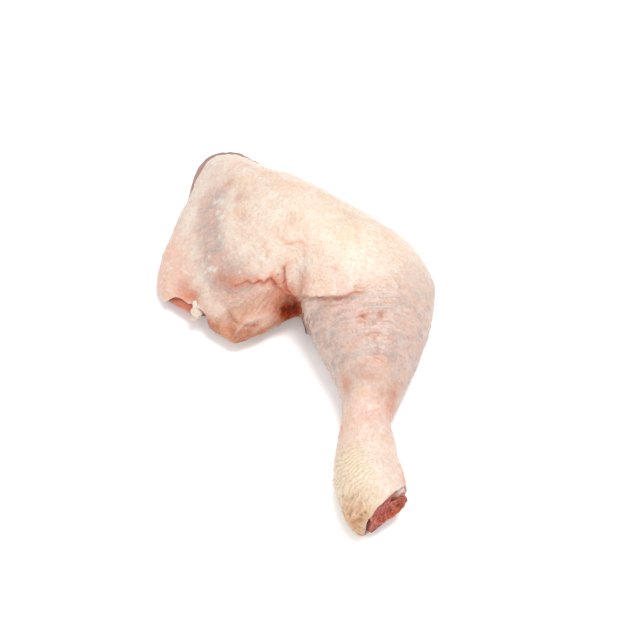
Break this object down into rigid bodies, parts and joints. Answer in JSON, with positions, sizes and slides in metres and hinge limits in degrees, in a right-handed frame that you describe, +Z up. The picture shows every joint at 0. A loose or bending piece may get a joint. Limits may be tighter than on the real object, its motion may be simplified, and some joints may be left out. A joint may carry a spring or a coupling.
{
  "type": "raw chicken leg quarter",
  "caption": "Raw chicken leg quarter, skin on: thigh and drumstick bent at the knee, lying skin side up, cut through the hock.",
  "frame": {"origin": "on the table, under the middle of the leg's outline", "axes": "+Z up, away from the table and out of the skin side; +Y from the hock towards the back of the thigh; +X from the hip's free end towards the outside of the knee"},
  "size_m": [0.1276, 0.1952, 0.0456],
  "materials": {
    "skin": "moist, pale pink to cream, finely pimpled",
    "flesh": "wet raw meat",
    "bone": "moist cut bone, pinkish red",
    "fat": "moist white fat"
  },
  "bodies": {
    "root": {"skin": "skin", "flesh": "flesh", "shin_bone": "bone", "fat_shred": "fat"}
  },
  "joints": []
}
